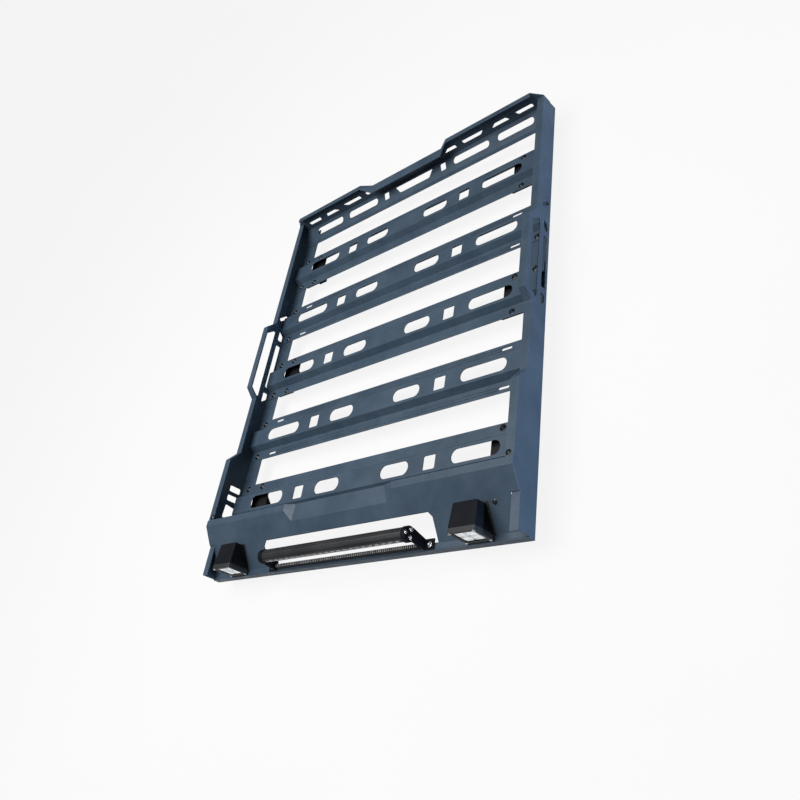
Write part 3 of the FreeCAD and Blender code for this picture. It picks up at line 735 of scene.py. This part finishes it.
def ribbed_trim():
    """Rubber strip with close cross ribs along its top."""
    low, high = corners("front_edge_trim")
    count = round((high.x - low.x) / TRIM_RIB_PITCH)
    pitch = (high.x - low.x) / count
    valley = high.z - TRIM_RIB_DEPTH
    line = [(low.x, low.z)]
    for number in range(count):
        start = low.x + number * pitch
        line.append((start, valley))
        line.append((start + pitch * TRIM_RIB_START, high.z))
        line.append((start + pitch * TRIM_RIB_END, high.z))
    line.append((high.x, valley))
    line.append((high.x, low.z))
    mesh = bmesh.new()
    closed_skin(mesh, [[(x, y, z) for x, z in line] for y in (low.y, high.y)])
    return mesh


def seen_directly(tree):
    """1 for what the camera sees, also through glass, and 0 for other light."""
    path = tree.nodes.new("ShaderNodeLightPath")
    return maths(tree, "MAXIMUM", path.outputs["Is Camera Ray"], path.outputs["Is Transmission Ray"])


def floor():
    """Pale floor that looks near white and keeps a soft shadow."""
    bpy.ops.mesh.primitive_plane_add(size=FLOOR_SIZE, location=(0, 0, 0))
    ground = bpy.context.object
    ground.name = "floor"
    material, tree, shader = new_material("pale_floor")
    shade = ramp(tree, noise(tree, *FLOOR_SHADE), NOISE_MIDDLE, (FLOOR_DARK, FLOOR_LIGHT))
    tree.links.new(shade, shader.inputs["Base Color"])
    shader.inputs["Roughness"].default_value = FLOOR_ROUGHNESS
    glow = add(tree, "ShaderNodeEmission", Strength=1.0)
    blend = tree.nodes.new("ShaderNodeMixShader")
    tree.links.new(remap(tree, seen_directly(tree), WHOLE, FLOOR_GLOW), blend.inputs["Fac"])
    tree.links.new(shader.outputs["BSDF"], blend.inputs[1])
    tree.links.new(glow.outputs["Emission"], blend.inputs[2])
    tree.links.new(blend.outputs["Shader"], tree.nodes["Material Output"].inputs["Surface"])
    paint(ground, material)


def lamp(name, place, target, size, power, colour, beam):
    """Soft lamp of a width and height, aimed at a point."""
    data = bpy.data.lights.new(name, "AREA")
    data.shape = "RECTANGLE"
    data.size, data.size_y = size
    data.energy = power
    data.color = colour
    data.spread = math.radians(beam)
    made = bpy.data.objects.new(name, data)
    made.location = place
    aim = Vector(target) - Vector(place)
    made.rotation_euler = aim.to_track_quat("-Z", "Y").to_euler()
    bpy.context.scene.collection.objects.link(made)


def world():
    """White where it is seen, and a sky that fades from overhead to the horizon otherwise."""
    surroundings = bpy.data.worlds.new("studio")
    surroundings.use_nodes = True
    bpy.context.scene.world = surroundings
    tree = surroundings.node_tree
    background = tree.nodes["Background"]
    background.inputs["Color"].default_value = WHITE
    place = tree.nodes.new("ShaderNodeTexCoord")
    sky = remap(tree, upright(tree, place.outputs["Generated"]), WHOLE, SKY)
    strength = maths(tree, "MAXIMUM", sky, seen_directly(tree))
    tree.links.new(strength, background.inputs["Strength"])


def camera():
    """Camera at the photograph's viewing point."""
    data = bpy.data.cameras.new("camera")
    data.sensor_width = SENSOR
    data.lens = CAMERA_LENS
    data.shift_x, data.shift_y = CAMERA_SHIFT
    made = bpy.data.objects.new("camera", data)
    made.location = CAMERA_PLACE
    made.rotation_euler = [math.radians(angle) for angle in CAMERA_TURN]
    bpy.context.scene.collection.objects.link(made)
    bpy.context.scene.camera = made


slate = coated("slate_coat", **SLATE_COAT)
black = coated("black_cast", **BLACK_CAST)
grey = coated("grey_cast", **GREY_CAST)
bracket_black = coated("black_coat", **BLACK_COAT)
clear = glass("lens", **CLEAR_GLASS)
smoky = glass("smoky_lens", **SMOKY_GLASS)
# Rubber edges: scuffs plus a painted edge highlight; trim: a painted highlight on its ribs' tops
dark_rubber = rubber("rubber", RUBBER_SCUFF_AND_HIGHLIGHT, painted_highlight_tops=False)
trim_rubber = rubber("trim_rubber", TRIM_HIGHLIGHT, painted_highlight_tops=True)
dark_steel = metal("bolt_steel", **BOLT_STEEL)
bright_steel = metal("plated_steel", **PLATED_STEEL)
chrome = metal("reflector", **REFLECTOR)
emitter_yellow = phosphor("emitter")

finishes = {"coated_sheet": slate, "black_housing": black, "black_bracket": bracket_black,
            "clear_lens": clear, "rubber": dark_rubber}
for part in frame["record"]["subparts"]:
    node, slot = nodes[part["node"]], part["material_slot"]
    paint(node, finishes[slot])
    if slot == "black_housing":
        soften(node, CAST_ROUNDING)
    elif slot != "clear_lens":
        soften(node, SHEET_ROUNDING)
for name in ("corner_light_bezel_left", "corner_light_bezel_right", "light_bar_housing"):
    paint(nodes[name], grey)

piece("bar_bolts", bar_bolts(), dark_steel)
piece("lip_bolts", lip_bolts(), dark_steel)
piece("light_bar_bolts", light_bar_bolts(), bright_steel)
piece("bezel_screws", bezel_screws(), bright_steel)
piece("fairing_bolts", fairing_bolts(), dark_steel)
piece("corner_light_edging", corner_light_edging(), dark_rubber)
for name, insides in (("light_bar", light_bar_insides), ("corner_light", corner_light_insides)):
    mirror, emitter = insides()
    piece(f"{name}_reflectors", mirror, chrome)
    piece(f"{name}_emitters", emitter, emitter_yellow)
piece("light_bar_ribs", light_bar_ribs(), grey)
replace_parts(piece("curved_lens", curved_lens(), smoky), "light_bar_lens")
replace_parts(piece("ribbed_trim", ribbed_trim(), trim_rubber), "front_edge_trim")

floor()
lamp("key", **KEY_LAMP)
lamp("side", **SIDE_LAMP)
world()
camera()
bpy.context.scene.view_settings.view_transform = "Standard"
